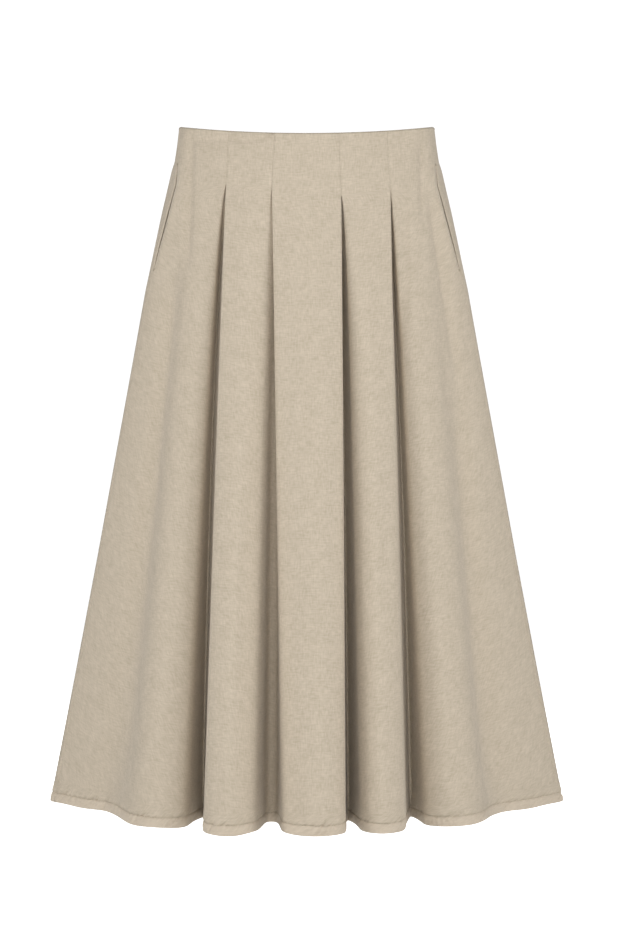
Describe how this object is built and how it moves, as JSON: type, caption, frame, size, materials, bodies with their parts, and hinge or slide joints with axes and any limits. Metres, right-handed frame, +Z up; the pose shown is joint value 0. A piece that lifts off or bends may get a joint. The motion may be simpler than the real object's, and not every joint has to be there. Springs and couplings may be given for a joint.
{
  "type": "pleated midi skirt",
  "caption": "A-line midi skirt in plain linen, hollow as worn, with stitched-down pleats that open below the hip, slanting side seam pockets, a concealed back zip and a deep curved hem",
  "frame": {"origin": "the middle of the waist opening, level with the tops of the side seams", "axes": "+Z up, -Y towards the wearer's front, +X towards the wearer's left"},
  "size_m": [0.62, 0.4395, 0.8103],
  "materials": {
    "linen": "plain-woven linen, matt, stone beige",
    "pocketing": "fine plain cotton, matt, ecru",
    "zip_tape": "woven tape, matt, beige",
    "zip_metal": "lacquered beige, satin"
  },
  "bodies": {
    "skirt": {"front_panel": "linen", "back_panel_left": "linen", "back_panel_right": "linen", "pocket_left_front_bag": "pocketing", "pocket_left_back_bag": "pocketing", "pocket_right_front_bag": "pocketing", "pocket_right_back_bag": "pocketing", "zip_tape_left": "zip_tape", "zip_tape_right": "zip_tape", "zip_slider": "zip_metal"},
    "pull_tab": {"zip_pull_tab": "zip_metal"}
  },
  "joints": [
    {"name": "pull_tab_hinge", "type": "hinge", "parent": "skirt", "child": "pull_tab", "pos_m": [0, 0.08517, -0.00886], "axis": [1, 0, 0], "range_deg": [0, 170]}
  ]
}
